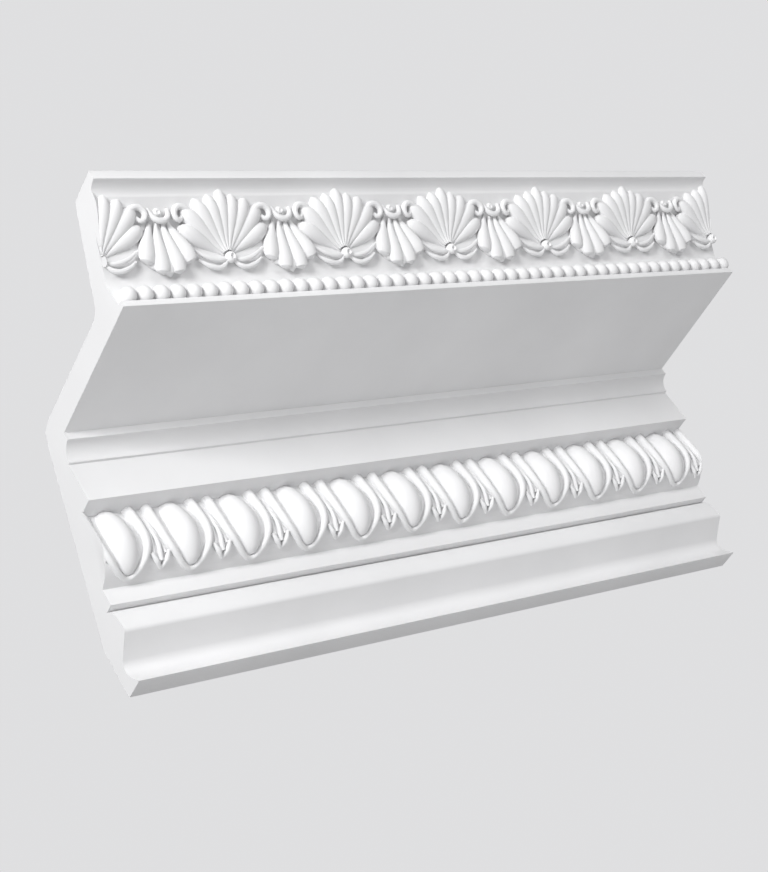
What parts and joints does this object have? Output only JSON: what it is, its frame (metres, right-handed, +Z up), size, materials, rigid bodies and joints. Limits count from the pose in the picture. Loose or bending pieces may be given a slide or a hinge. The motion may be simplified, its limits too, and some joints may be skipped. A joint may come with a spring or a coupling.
{
  "type": "cornice moulding length",
  "caption": "Straight length of classical cornice moulding with a palmette frieze, a bead row, a deep soffit and an egg-and-dart band, cut square at both ends.",
  "frame": {"origin": "middle of the flat back face that is glued to the wall, half way along the moulding", "axes": "+X along the moulding, +Y into the wall, +Z up to the ceiling, as it is installed"},
  "size_m": [0.44, 0.17, 0.178],
  "materials": {
    "primed_foam": "smooth white primed surface of rigid polyurethane foam, satin to matte"
  },
  "bodies": {
    "root": {"cornice_moulding": "primed_foam"}
  },
  "joints": []
}
